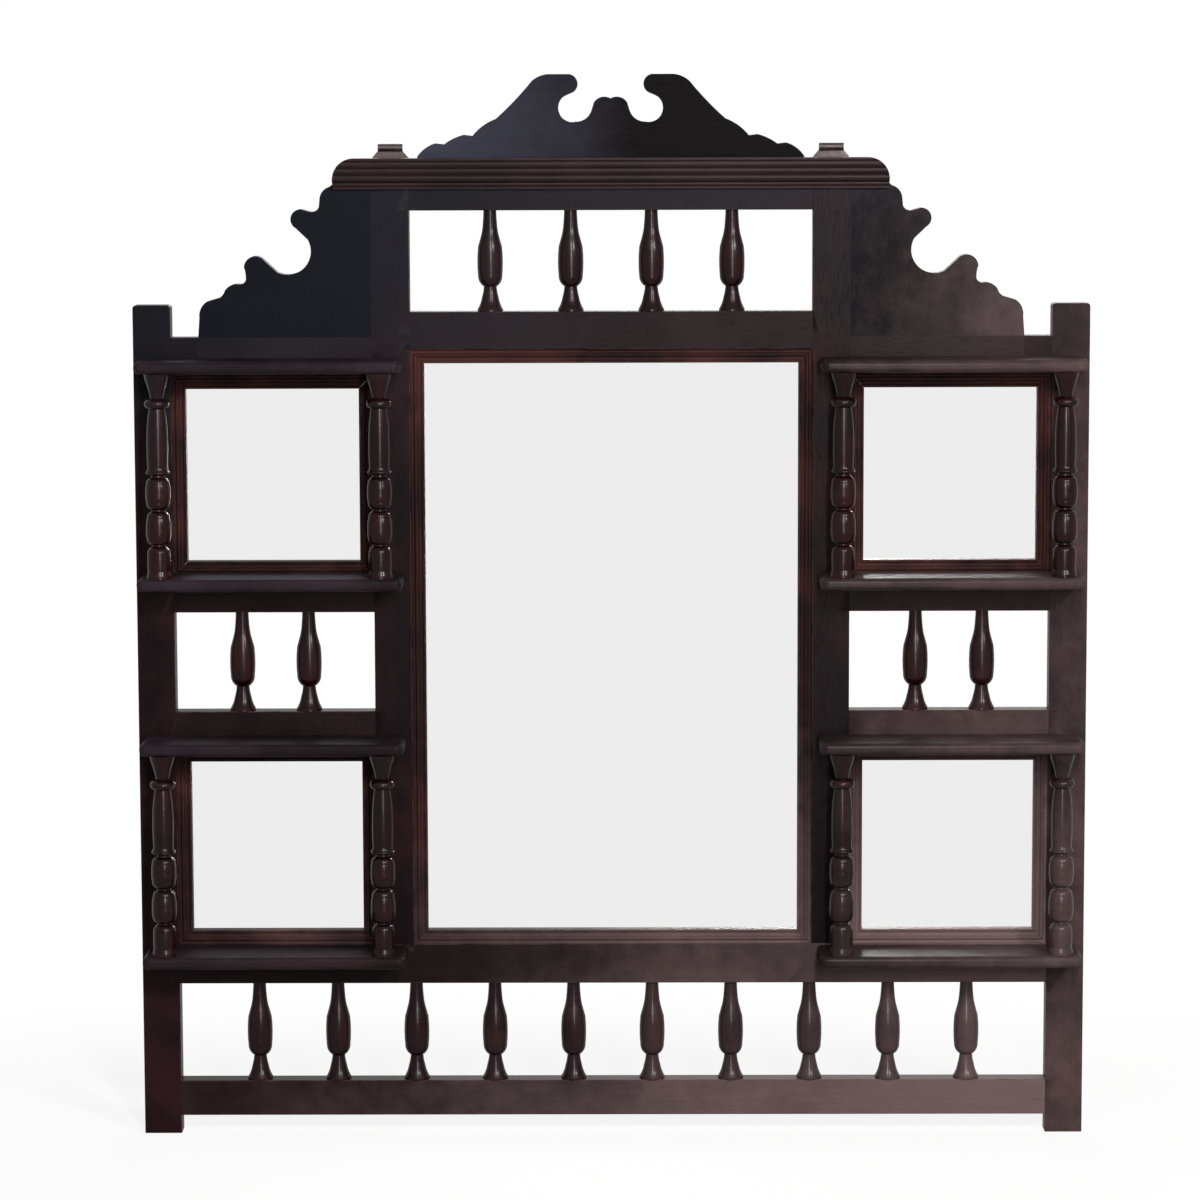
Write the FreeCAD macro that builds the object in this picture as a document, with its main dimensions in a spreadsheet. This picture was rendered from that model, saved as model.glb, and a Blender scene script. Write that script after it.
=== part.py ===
"""Overmantel mirror: a flat wooden frame with five mirrors, spindle galleries, shelves on turned columns,
fret-cut boards and a reeded cornice.

Millimetres. +X is the right of someone facing the mirror, +Y runs into the wall and +Z is up. The origin is
on the surface that the feet stand on, in the middle of the width and of the whole depth.
"""
import FreeCAD, Part
import math
import os

import Sketcher

SIZES = {
    # Flat frame, from the feet up
    "frame_width": 965.2,
    "frame_thickness": 22.2,
    "stile_width": 38.1,
    "rail_height": 38.1,
    "foot_height": 19.0,
    "bottom_rail_height": 36.5,
    "lower_rail_height": 41.0,
    "gallery_height": 101.6,
    "centre_opening_width": 406.4,
    "centre_opening_height": 609.6,
    "centre_step": 25.4,
    "ear_height": 32.6,
    "ear_corner_radius": 3.5,
    # Mortise and tenon joints
    "tenon_length": 14.0,
    "tenon_shoulder": 6.0,
    "tenon_thickness": 7.4,
    "foot_tenon_width": 12.5,
    "joint_gap": 0.15,
    "joint_end_gap": 0.8,
    "cut_overrun": 2.0,
    # Fret-cut boards and their dowels
    "fret_thickness": 19.0,
    "wing_notch": 28.0,
    "crest_end_gap": 8.8,
    "crest_height": 97.7,
    "dowel_radius": 4.0,
    "dowel_length": 24.0,
    # Cornice
    "cornice_overhang": 38.1,
    "cornice_height": 31.0,
    "cornice_depth": 16.0,
    "cornice_rise": 14.5,
    "cornice_corner_radius": 22.0,
    # Shelves
    "shelf_overlap": 31.75,
    "shelf_depth": 63.5,
    "shelf_thickness": 12.7,
    "shelf_corner_radius": 8.0,
    "shelf_edge_radius": 5.0,
    "upper_shelf_lift": 2.5,
    "lower_shelf_drop": 14.2,
    # Columns
    "column_excess": 2.3,
    "column_radius": 12.8,
    "column_inset": 22.4,
    "column_setback": 13.5,
    "column_tenon_radius": 5.0,
    "column_tenon_length": 8.0,
    # Spindles
    "spindle_radius": 13.0,
    "spindle_tenon_radius": 4.5,
    "spindle_tenon_length": 10.0,
    # Mirrors, their mouldings and what holds them from behind
    "moulding_width": 14.0,
    "moulding_depth": 9.5,
    "mirror_thickness": 4.0,
    "mirror_margin": 0.8,
    "back_board_thickness": 5.0,
    "glue_block_length": 40.0,
    "glue_block_width": 8.0,
    # Hangers
    "strap_thickness": 2.0,
    "strap_width": 38.0,
    "strap_height": 78.0,
    "strap_neck_height": 74.8,
    "strap_neck_slope": 7.4,
    "eye_radius": 1.8,
    "eye_width": 25.0,
    "eye_rise": 24.7,
    # Screws
    "shelf_screw_length": 50.0,
    "shelf_screw_radius": 2.2,
    "shelf_screw_head_radius": 4.5,
    "hanger_screw_length": 17.0,
    "hanger_screw_radius": 1.9,
    "hanger_screw_head_radius": 3.8,
    "hanger_screw_inset": 10.0,
    "hanger_screw_pitch": 17.0,
    "screw_tip_length": 4.0,
    "screw_slot_width": 1.0,
    "screw_slot_depth": 0.9,
}

TOP_SPINDLES = 4
SIDE_SPINDLES = 2
BOTTOM_SPINDLES = 10
HANGER_SCREWS = 3
LEAST_CUT_SHARE = 1e-6

# An outline's corners are (across, up, bulge). The bulge shapes the edge to the next corner: nothing for a
# straight line, or an arc's height over half its chord, above zero where it bows to the right of its run.
QUARTER_TURN_BULGE_SHARE = math.tan(math.pi / 8)
EYE_ROLL_ANGLE = 285.0

# Wing board, shares of its width and height from the foot of its inner edge
WING_OUTLINE_SHARES = (
    (0.0, 0.0, 0.0),
    (1.0, 0.0, 0.0),
    (0.992, 0.121, 0.28),
    (0.95, 0.218, 0.0),
    (0.897, 0.235, -0.3),
    (0.844, 0.285, 0.32),
    (0.76, 0.323, -0.3),
    (0.722, 0.349, -0.1),
    (0.732, 0.428, 0.58),
    (0.629, 0.483, 0.0),
    (0.541, 0.397, -0.74),
    (0.364, 0.595, 0.0),
    (0.432, 0.664, 0.8),
    (0.4, 0.779, 0.0),
    (0.358, 0.767, -0.42),
    (0.298, 0.793, 0.0),
    (0.293, 0.849, 0.29),
    (0.235, 0.916, 0.0),
    (0.189, 0.957, 0.0),
    (0.189, 1.0, 0.0),
    (0.0, 1.0, 0.0),
)

# Right half of the crest, shares of its half width and height from the end of its foot to the middle dip
CREST_OUTLINE_SHARES = (
    (1.0, 0.0, 0.0),
    (1.0, 0.159, 0.17),
    (0.908, 0.297, 0.0),
    (0.86, 0.287, 0.1),
    (0.759, 0.384, 0.0),
    (0.713, 0.372, 0.14),
    (0.592, 0.546, -0.04),
    (0.406, 0.931, 0.16),
    (0.324, 1.0, 0.0),
    (0.212, 1.0, 0.735),
    (0.2, 0.808, -0.06),
    (0.247, 0.764, -0.77),
    (0.18, 0.514, -0.35),
    (0.097, 0.64, 0.0),
    (0.086, 0.711, 0.4),
    (0.0, 0.752, 0.0),
)

# Dowels under these boards, shares of the wing's width from its inner edge and of the crest's from its middle
WING_DOWEL_SHARES = (0.26, 0.74)
CREST_DOWEL_SHARES = (-0.38, 0.0, 0.38)

# Cornice section, shares of its depth towards the front and of its height from the foot
CORNICE_SECTION_SHARES = (
    (0.0, 0.0, 0.0),
    (0.38, 0.0, 0.0),
    (0.38, 0.065, -0.5),
    (0.44, 0.226, 0.0),
    (0.6, 0.226, -0.45),
    (0.68, 0.452, -0.4),
    (0.76, 0.677, 0.0),
    (0.84, 0.677, -0.35),
    (0.88, 0.9, 0.0),
    (1.0, 0.92, 0.0),
    (1.0, 1.0, 0.0),
    (0.0, 1.0, 0.0),
)

# Mirror moulding section, shares of its width from the opening's edge and of its depth behind the frame face
MOULDING_SECTION_SHARES = (
    (0.0, 1.0, 0.0),
    (0.0, -0.05, -0.85),
    (0.32, -0.05, 0.0),
    (0.32, 0.14, 0.0),
    (0.45, 0.14, -0.7),
    (0.88, 0.3, 0.0),
    (1.0, 0.3, 0.0),
    (1.0, 1.0, 0.0),
)

# Turned columns and spindles, shares of their height and of their greatest radius
COLUMN_PROFILE_SHARES = (
    (0.0, 0.977, 0.0),
    (0.016, 0.969, 0.0),
    (0.037, 0.883, 0.04),
    (0.13, 0.891, 0.25),
    (0.159, 0.547, 0.0),
    (0.167, 0.539, 0.4),
    (0.191, 0.914, 0.1),
    (0.248, 0.972, 0.1),
    (0.297, 0.891, 0.32),
    (0.331, 0.555, 0.0),
    (0.339, 0.547, 0.36),
    (0.373, 0.922, 0.1),
    (0.422, 0.972, 0.1),
    (0.463, 0.925, 0.34),
    (0.497, 0.563, 0.0),
    (0.507, 0.547, 0.0),
    (0.514, 0.906, 0.5),
    (0.525, 0.906, -0.16),
    (0.547, 0.797, 0.02),
    (0.666, 0.836, 0.045),
    (0.832, 0.625, 0.0),
    (0.832, 0.71, 0.78),
    (0.876, 0.71, 0.0),
    (0.876, 0.49, -0.04),
    (0.978, 0.93, 0.0),
    (1.0, 1.0, 0.0),
)
SPINDLE_PROFILE_SHARES = (
    (0.0, 1.0, 0.0),
    (0.02, 0.992, -0.1),
    (0.138, 0.65, -0.06),
    (0.245, 0.5, 0.26),
    (0.345, 0.938, 0.05),
    (0.64, 0.93, 0.0),
    (0.725, 0.746, -0.06),
    (0.86, 0.56, -0.02),
    (1.0, 0.5, 0.0),
)


# Sizes as expressions

class Size:
    """A size's value now and the expression that keeps it tied to the sheet."""

    def __init__(self, value, text):
        self.value = value
        self.text = text

    def __add__(self, other):
        other = as_size(other)
        return Size(self.value + other.value, f"({self.text} + {other.text})")

    def __sub__(self, other):
        other = as_size(other)
        return Size(self.value - other.value, f"({self.text} - {other.text})")

    def __mul__(self, other):
        other = as_size(other)
        return Size(self.value * other.value, f"({self.text} * {other.text})")

    def __truediv__(self, other):
        other = as_size(other)
        return Size(self.value / other.value, f"({self.text} / {other.text})")

    def __neg__(self):
        return Size(-self.value, f"(-{self.text})")

    __radd__ = __add__
    __rmul__ = __mul__

    def __rsub__(self, other):
        return as_size(other) - self


class NamedSizes:
    """The sheet's sizes by name, such as size.shelf_depth."""

    def __getattr__(self, name):
        return Size(SIZES[name], f"Sizes.{name}")


def as_size(amount):
    """Give a plain number the form of a size."""
    if isinstance(amount, Size):
        return amount
    return Size(float(amount), f"({float(amount):.9f})")


def distance(across, up):
    """The length of a step across and up."""
    value = math.hypot(across.value, up.value)
    return Size(value, f"sqrt({across.text} ^ 2 + {up.text} ^ 2)")


def bind(item, name, amount):
    """Tie a property to a size."""
    item.setExpression(name, as_size(amount).text)


def place(item, across=0.0, back=0.0, up=0.0):
    """Tie an object's position to sizes along X, Y and Z."""
    bind(item, "Placement.Base.x", across)
    bind(item, "Placement.Base.y", back)
    bind(item, "Placement.Base.z", up)
    return item


size = NamedSizes()
document = FreeCAD.newDocument("OvermantelMirror")
sheet = document.addObject("Spreadsheet::Sheet", "Sizes")
for sheet_row, (size_name, size_value) in enumerate(SIZES.items(), start=1):
    sheet.set(f"A{sheet_row}", str(size_value))
    sheet.setAlias(f"A{sheet_row}", size_name)
document.recompute()

# Places that several pieces share

opening_width = (size.frame_width - size.centre_opening_width) / 2 - 2 * size.stile_width
side_height = size.centre_opening_height - size.centre_step
small_opening_height = (side_height - 2 * size.rail_height - size.gallery_height) / 2
wing_width = opening_width - size.wing_notch
crest_width = size.centre_opening_width - 2 * size.crest_end_gap
cornice_length = size.centre_opening_width + 2 * (size.stile_width + size.cornice_overhang)
shelf_length = opening_width + 2 * size.shelf_overlap
column_height = small_opening_height + size.column_excess
outer_stile_x = (size.frame_width - size.stile_width) / 2
inner_stile_x = (size.centre_opening_width + size.stile_width) / 2
side_x = (outer_stile_x + inner_stile_x) / 2
stile_reach = (outer_stile_x - inner_stile_x) / 2

front_y = (size.shelf_depth - size.frame_thickness - size.strap_thickness) / 2
middle_y = front_y + size.frame_thickness / 2
back_y = front_y + size.frame_thickness
fret_y = front_y + size.fret_thickness / 2
fret_offset = (size.fret_thickness - size.frame_thickness) / 2

bottom_gallery_z = size.foot_height + size.bottom_rail_height
lower_rail_z = bottom_gallery_z + size.gallery_height
lower_opening_z = lower_rail_z + size.lower_rail_height
lower_cross_rail_z = lower_opening_z + small_opening_height
side_gallery_z = lower_cross_rail_z + size.rail_height
upper_cross_rail_z = side_gallery_z + size.gallery_height
upper_opening_z = upper_cross_rail_z + size.rail_height
side_top_rail_z = upper_opening_z + small_opening_height
wing_z = side_top_rail_z + size.rail_height
centre_top_rail_z = lower_opening_z + size.centre_opening_height
top_gallery_z = centre_top_rail_z + size.rail_height
head_rail_z = top_gallery_z + size.gallery_height
crest_z = head_rail_z + size.rail_height

shelf_unit_rise = size.shelf_thickness + column_height
upper_shelf_z = upper_opening_z + size.upper_shelf_lift - size.shelf_thickness
lower_shelf_z = lower_opening_z - size.lower_shelf_drop
shelf_levels = {
    "upper_top": upper_shelf_z + shelf_unit_rise,
    "upper_bottom": upper_shelf_z,
    "lower_top": lower_shelf_z + shelf_unit_rise,
    "lower_bottom": lower_shelf_z,
}
shelf_screw_levels = [level + size.shelf_thickness / 2 for level in shelf_levels.values()]
hanger_z = crest_z + size.eye_rise - size.strap_height
hanger_screw_levels = [
    hanger_z + size.hanger_screw_inset + size.hanger_screw_pitch * number for number in range(HANGER_SCREWS)
]
SIDES = (("left", -1.0), ("right", 1.0))
nodes = []


# Sketches and features

def add_node(item, name):
    """Name a finished piece."""
    item.Label = name
    nodes.append(item)
    return item


def new_body(name):
    """Start a solid piece."""
    return document.addObject("PartDesign::Body", name)


def new_sketch(body, plane, offset=0.0):
    """Start a sketch on one of the body's own planes, moved along that plane's normal."""
    support = [feature for feature in body.Origin.OriginFeatures if feature.Role == plane][0]
    sketch = body.newObject("Sketcher::SketchObject", f"{body.Name}_sketch")
    sketch.AttachmentSupport = [(support, "")]
    sketch.MapMode = "FlatFace"
    bind(sketch, "AttachmentOffset.Base.z", offset)
    return sketch


def constrain(sketch, joins, amounts):
    """Add a sketch's joins, and its constraints of a size, each tied to that size."""
    dimensions = [Sketcher.Constraint(kind, *where, amount.value) for kind, where, amount in amounts]
    sketch.addConstraint(joins + dimensions)
    for number, (_, _, amount) in enumerate(amounts, start=len(joins)):
        bind(sketch, f"Constraints[{number}]", amount)


def arc_edge(start, end, bulge):
    """An arc that turns anticlockwise, so it starts at the end where its bulge is below zero."""
    chord = end - start
    outward = FreeCAD.Vector(chord.y, -chord.x, 0)
    crown = (start + end) / 2 + outward * (bulge / 2)
    if bulge > 0:
        return Part.Arc(start, crown, end)
    return Part.Arc(end, crown, start)


def draw_outline(sketch, corners):
    """Draw a closed outline through its corners, with lines and arcs between them."""
    corners = [(as_size(across), as_size(up), bulge) for across, up, bulge in corners]
    points = [FreeCAD.Vector(across.value, up.value, 0) for across, up, _ in corners]
    edges = []
    joins = []
    amounts = []
    for number, (across, up, bulge) in enumerate(corners):
        following = (number + 1) % len(corners)
        next_across, next_up, next_bulge = corners[following]
        start, end = points[number], points[following]
        edges.append(arc_edge(start, end, bulge) if bulge else Part.LineSegment(start, end))
        first, last = (1, 2) if bulge >= 0 else (2, 1)
        next_first = 1 if next_bulge >= 0 else 2
        joins.append(Sketcher.Constraint("Coincident", number, last, following, next_first))
        amounts.append(("DistanceX", (-1, 1, number, first), across))
        amounts.append(("DistanceY", (-1, 1, number, first), up))
        if bulge:
            rise = abs(bulge)
            chord = distance(next_across - across, next_up - up)
            amounts.append(("Radius", (number,), chord * ((1 + rise * rise) / (4 * rise))))
    sketch.addGeometry(edges, False)
    constrain(sketch, joins, amounts)
    return sketch


def draw_rectangle(sketch, left, right, bottom, top):
    """Draw a rectangle between two places across and two places up."""
    corners = ((left, bottom, 0), (right, bottom, 0), (right, top, 0), (left, top, 0))
    return draw_outline(sketch, corners)


def draw_circles(sketch, centres, radius):
    """Draw equal circles."""
    circles = []
    amounts = []
    for number, (across, up) in enumerate(centres):
        across, up = as_size(across), as_size(up)
        centre = FreeCAD.Vector(across.value, up.value, 0)
        circles.append(Part.Circle(centre, FreeCAD.Vector(0, 0, 1), radius.value))
        amounts.append(("DistanceX", (-1, 1, number, 3), across))
        amounts.append(("DistanceY", (-1, 1, number, 3), up))
        amounts.append(("Radius", (number,), radius))
    sketch.addGeometry(circles, False)
    constrain(sketch, [], amounts)
    return sketch


def raise_feature(body, kind, sketch, length, both_ways=False, backwards=False):
    """Pad or pocket a sketch by a length."""
    feature = body.newObject(f"PartDesign::{kind}", f"{body.Name}_{kind.lower()}")
    feature.Profile = sketch
    feature.Midplane = both_ways
    feature.Reversed = backwards
    bind(feature, "Length", length)
    return feature


def turn_feature(body, corners):
    """Turn a half profile round the upright axis."""
    sketch = draw_outline(new_sketch(body, "XZ_Plane"), corners)
    feature = body.newObject("PartDesign::Revolution", f"{body.Name}_turning")
    feature.Profile = sketch
    feature.ReferenceAxis = (sketch, ["V_Axis"])
    feature.Angle = 360
    return feature


def group_node(name, source, places, axis=(1, 0, 0), angle=0.0):
    """Set one piece at several places, as a group of separate solids."""
    rotation = FreeCAD.Rotation(FreeCAD.Vector(*axis), angle)
    copies = []
    for number, spot in enumerate(places):
        copy = source
        if number:
            copy = document.addObject("App::Link", f"{name}_copy")
            copy.LinkedObject = source
        copy.Placement.Rotation = rotation
        copies.append(place(copy, *spot))
    group = document.addObject("Part::Compound", f"{name}_group")
    group.Links = copies
    return add_node(group, name)


# Frame members

tongue_thickness = size.tenon_thickness
mortise_thickness = size.tenon_thickness + 2 * size.joint_gap


def mortise(body, edge_x, side, bottom, rail_height):
    """Cut a mortise for a rail's tenon into the edge of an upright, on its left (-1) or right (1) side."""
    inner = edge_x - side * (size.tenon_length + size.joint_end_gap)
    outer = edge_x + side * size.cut_overrun
    low = bottom + size.tenon_shoulder - size.joint_gap
    high = bottom + rail_height - size.tenon_shoulder + size.joint_gap
    sketch = draw_rectangle(new_sketch(body, "XZ_Plane"), inner, outer, low, high)
    raise_feature(body, "Pocket", sketch, mortise_thickness, both_ways=True)


def screw_holes(body, centres, radius, head_radius):
    """Bore countersunk clearance holes through a frame member from its back."""
    back = -(size.frame_thickness / 2)
    bores = draw_circles(new_sketch(body, "XZ_Plane", back), centres, radius + size.joint_gap)
    raise_feature(body, "Pocket", bores, size.frame_thickness + size.cut_overrun, backwards=True)
    sinks = draw_circles(new_sketch(body, "XZ_Plane", back), centres, head_radius + size.joint_gap)
    sink = raise_feature(body, "Pocket", sinks, head_radius - radius, backwards=True)
    sink.TaperAngle = -45


def round_holes(body, centres, radius, depth, top=None):
    """Bore blind upright holes up from the foot of a piece, or down from its top."""
    sketch = new_sketch(body, "XY_Plane", 0.0 if top is None else top)
    draw_circles(sketch, centres, radius + size.joint_gap)
    raise_feature(body, "Pocket", sketch, depth + size.joint_end_gap, backwards=top is None)


def stile(name, centre_x, bottom, top, corner_radius=None):
    """An upright of the frame, from its foot to its top, which is square or has rounded corners."""
    body = new_body(name)
    half = size.stile_width / 2
    height = top - bottom
    sketch = new_sketch(body, "XZ_Plane")
    if corner_radius is None:
        draw_rectangle(sketch, -half, half, 0, height)
    else:
        inset = half - corner_radius
        shoulder = height - corner_radius
        outline = (
            (-half, 0, 0),
            (half, 0, 0),
            (half, shoulder, QUARTER_TURN_BULGE_SHARE),
            (inset, height, 0),
            (-inset, height, QUARTER_TURN_BULGE_SHARE),
            (-half, shoulder, 0),
        )
        draw_outline(sketch, outline)
    raise_feature(body, "Pad", sketch, size.frame_thickness, both_ways=True)
    place(body, centre_x, middle_y, bottom)
    return add_node(body, name)


def rail(name, centre_x, bottom, length, height):
    """A cross piece of the frame with a tenon at each end."""
    body = new_body(name)
    half = length / 2
    sketch = draw_rectangle(new_sketch(body, "XZ_Plane"), -half, half, 0, height)
    raise_feature(body, "Pad", sketch, size.frame_thickness, both_ways=True)
    reach = half + size.tenon_length
    low = size.tenon_shoulder
    sketch = draw_rectangle(new_sketch(body, "XZ_Plane"), -reach, reach, low, height - low)
    raise_feature(body, "Pad", sketch, tongue_thickness, both_ways=True)
    place(body, centre_x, middle_y, bottom)
    return add_node(body, name)


def spindle_places(width, count):
    """Places across a gallery that space its spindles and its ends equally."""
    return [width * ((number + 1) / (count + 1) - 0.5) for number in range(count)]


def spindle_holes(body, width, count, top=None):
    """Bore the sockets for a gallery's spindles."""
    centres = [(across, 0.0) for across in spindle_places(width, count)]
    round_holes(body, centres, size.spindle_tenon_radius, size.spindle_tenon_length, top)


def dowel_holes(body, centres, top=None):
    """Bore half the length of each dowel into a piece."""
    round_holes(body, centres, size.dowel_radius, size.dowel_length / 2, top)


full_width = size.frame_width - 2 * size.stile_width
wing_dowel_places = [share * wing_width for share in WING_DOWEL_SHARES]
crest_dowel_places = [share * crest_width for share in CREST_DOWEL_SHARES]

for side_name, side in SIDES:
    ear_top = wing_z + size.ear_height
    outer = stile(f"{side_name}_outer_stile", side * outer_stile_x, 0.0, ear_top, size.ear_corner_radius)
    edge = -side * size.stile_width / 2
    for level, height in (
        (size.foot_height, size.bottom_rail_height),
        (lower_rail_z, size.lower_rail_height),
        (lower_cross_rail_z, size.rail_height),
        (upper_cross_rail_z, size.rail_height),
        (side_top_rail_z, size.rail_height),
    ):
        mortise(outer, edge, -side, level, height)
    screw_holes(
        outer,
        [(0.0, level) for level in shelf_screw_levels],
        size.shelf_screw_radius,
        size.shelf_screw_head_radius,
    )

    inner = stile(f"{side_name}_inner_stile", side * inner_stile_x, lower_opening_z, crest_z)
    edge = side * size.stile_width / 2
    for level in (lower_cross_rail_z, upper_cross_rail_z, side_top_rail_z):
        mortise(inner, edge, side, level - lower_opening_z, size.rail_height)
    for level in (centre_top_rail_z, head_rail_z):
        mortise(inner, -edge, -side, level - lower_opening_z, size.rail_height)
    screw_holes(
        inner,
        [(0.0, level - lower_opening_z) for level in shelf_screw_levels[:-1]],
        size.shelf_screw_radius,
        size.shelf_screw_head_radius,
    )
    depth = size.hanger_screw_length - size.strap_thickness + size.joint_end_gap
    bores = draw_circles(
        new_sketch(inner, "XZ_Plane", -(size.frame_thickness / 2)),
        [(0.0, level - lower_opening_z) for level in hanger_screw_levels],
        size.hanger_screw_radius + size.joint_gap,
    )
    raise_feature(inner, "Pocket", bores, depth, backwards=True)
    tenon_edge = -edge + side * size.tenon_shoulder / 2
    tenon_far_edge = tenon_edge + side * size.foot_tenon_width
    tenon = draw_rectangle(
        new_sketch(inner, "XZ_Plane"), tenon_edge, tenon_far_edge, -size.tenon_length, size.tenon_length
    )
    raise_feature(inner, "Pad", tenon, tongue_thickness, both_ways=True)

    rail_x = side * side_x
    top_rail = rail(f"{side_name}_top_rail", rail_x, side_top_rail_z, opening_width, size.rail_height)
    wing_foot = -side * opening_width / 2
    dowel_hole_centres = [(wing_foot + side * across, fret_offset) for across in wing_dowel_places]
    dowel_holes(top_rail, dowel_hole_centres, top=size.rail_height)
    upper_cross = rail(
        f"{side_name}_upper_cross_rail", rail_x, upper_cross_rail_z, opening_width, size.rail_height
    )
    spindle_holes(upper_cross, opening_width, SIDE_SPINDLES)
    lower_cross = rail(
        f"{side_name}_lower_cross_rail", rail_x, lower_cross_rail_z, opening_width, size.rail_height
    )
    spindle_holes(lower_cross, opening_width, SIDE_SPINDLES, top=size.rail_height)

head_rail = rail("head_rail", 0.0, head_rail_z, size.centre_opening_width, size.rail_height)
spindle_holes(head_rail, size.centre_opening_width, TOP_SPINDLES)
dowel_holes(head_rail, [(across, fret_offset) for across in crest_dowel_places], top=size.rail_height)

centre_top_rail = rail("centre_top_rail", 0.0, centre_top_rail_z, size.centre_opening_width, size.rail_height)
spindle_holes(centre_top_rail, size.centre_opening_width, TOP_SPINDLES, top=size.rail_height)

lower_rail = rail("lower_rail", 0.0, lower_rail_z, full_width, size.lower_rail_height)
spindle_holes(lower_rail, full_width, BOTTOM_SPINDLES)
for side_name, side in SIDES:
    slot_edge = side * (size.centre_opening_width / 2 + size.tenon_shoulder / 2 - size.joint_gap)
    slot_far_edge = slot_edge + side * (size.foot_tenon_width + 2 * size.joint_gap)
    slot = draw_rectangle(
        new_sketch(lower_rail, "XZ_Plane"),
        slot_edge,
        slot_far_edge,
        size.lower_rail_height - size.tenon_length - size.joint_end_gap,
        size.lower_rail_height + size.cut_overrun,
    )
    raise_feature(lower_rail, "Pocket", slot, mortise_thickness, both_ways=True)
screw_holes(
    lower_rail,
    [(side * inner_stile_x, shelf_screw_levels[-1] - lower_rail_z) for _, side in SIDES],
    size.shelf_screw_radius,
    size.shelf_screw_head_radius,
)

bottom_rail = rail("bottom_rail", 0.0, size.foot_height, full_width, size.bottom_rail_height)
spindle_holes(bottom_rail, full_width, BOTTOM_SPINDLES, top=size.bottom_rail_height)

# Fret-cut boards

wing_height = crest_z - wing_z
for side_name, side in SIDES:
    wing = new_body(f"{side_name}_wing_board")
    outline = [
        (side * across * wing_width, up * wing_height, side * bulge)
        for across, up, bulge in WING_OUTLINE_SHARES
    ]
    sketch = draw_outline(new_sketch(wing, "XZ_Plane"), outline)
    raise_feature(wing, "Pad", sketch, size.fret_thickness, both_ways=True)
    dowel_holes(wing, [(side * across, 0.0) for across in wing_dowel_places])
    place(wing, side * (inner_stile_x + size.stile_width / 2), fret_y, wing_z)
    add_node(wing, f"{side_name}_wing_board")

crest = new_body("crest_board")
half_crest = crest_width / 2
right_half = [
    (across * half_crest, up * size.crest_height, bulge) for across, up, bulge in CREST_OUTLINE_SHARES
]
# The left half runs back from the middle, so each of its edges takes the bulge of the edge that it mirrors.
left_half = [
    (-right_half[number][0], right_half[number][1], right_half[number - 1][2] if number else 0.0)
    for number in range(len(right_half) - 2, -1, -1)
]
right_half[-1] = (right_half[-1][0], right_half[-1][1], right_half[-2][2])
crest_sketch = draw_outline(new_sketch(crest, "XZ_Plane"), right_half + left_half)
raise_feature(crest, "Pad", crest_sketch, size.fret_thickness, both_ways=True)
dowel_holes(crest, [(across, 0.0) for across in crest_dowel_places])
place(crest, 0.0, fret_y, crest_z)
add_node(crest, "crest_board")

dowels = []
dowel_spots = [(across, crest_z) for across in crest_dowel_places]
for side_name, side in SIDES:
    wing_edge = side * (inner_stile_x + size.stile_width / 2)
    dowel_spots += [(wing_edge + side * across, wing_z) for across in wing_dowel_places]
for across, level in dowel_spots:
    dowel = document.addObject("Part::Cylinder", "fret_dowel")
    bind(dowel, "Radius", size.dowel_radius)
    bind(dowel, "Height", size.dowel_length)
    dowels.append(place(dowel, across, fret_y, level - size.dowel_length / 2))
dowel_group = document.addObject("Part::Compound", "fret_dowel_group")
dowel_group.Links = dowels
add_node(dowel_group, "fret_board_dowels")

# Cornice

cornice = new_body("cornice_moulding")
section = [
    (-across * size.cornice_depth, up * size.cornice_height, bulge)
    for across, up, bulge in CORNICE_SECTION_SHARES
]
section_sketch = draw_outline(new_sketch(cornice, "YZ_Plane"), section)
raise_feature(cornice, "Pad", section_sketch, cornice_length, both_ways=True)
for side_name, side in SIDES:
    end = side * cornice_length / 2
    past_end = end + side * size.cut_overrun
    shoulder = end - side * size.cornice_corner_radius
    past_top = size.cornice_height + size.cut_overrun
    corner_cut = (
        (end, size.cornice_height - size.cornice_corner_radius, side * QUARTER_TURN_BULGE_SHARE),
        (shoulder, size.cornice_height, 0),
        (shoulder, past_top, 0),
        (past_end, past_top, 0),
        (past_end, size.cornice_height - size.cornice_corner_radius, 0),
    )
    sketch = draw_outline(new_sketch(cornice, "XZ_Plane"), corner_cut)
    raise_feature(cornice, "Pocket", sketch, 2 * (size.cornice_depth + size.cut_overrun), both_ways=True)
place(cornice, 0.0, front_y, crest_z + size.cornice_rise - size.cornice_height)
add_node(cornice, "cornice_moulding")

# Shelves and columns

column_x = shelf_length / 2 - size.column_inset
column_y = size.column_setback - size.shelf_depth
shelf_screw_depth = size.shelf_screw_length - size.frame_thickness + size.joint_end_gap
bead_front_share, bead_bulge_share = MOULDING_SECTION_SHARES[1][1:]
bead_width = MOULDING_SECTION_SHARES[2][0] * size.moulding_width
moulding_stand = -(bead_bulge_share * bead_width / 2 + bead_front_share * size.moulding_depth)


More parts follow.
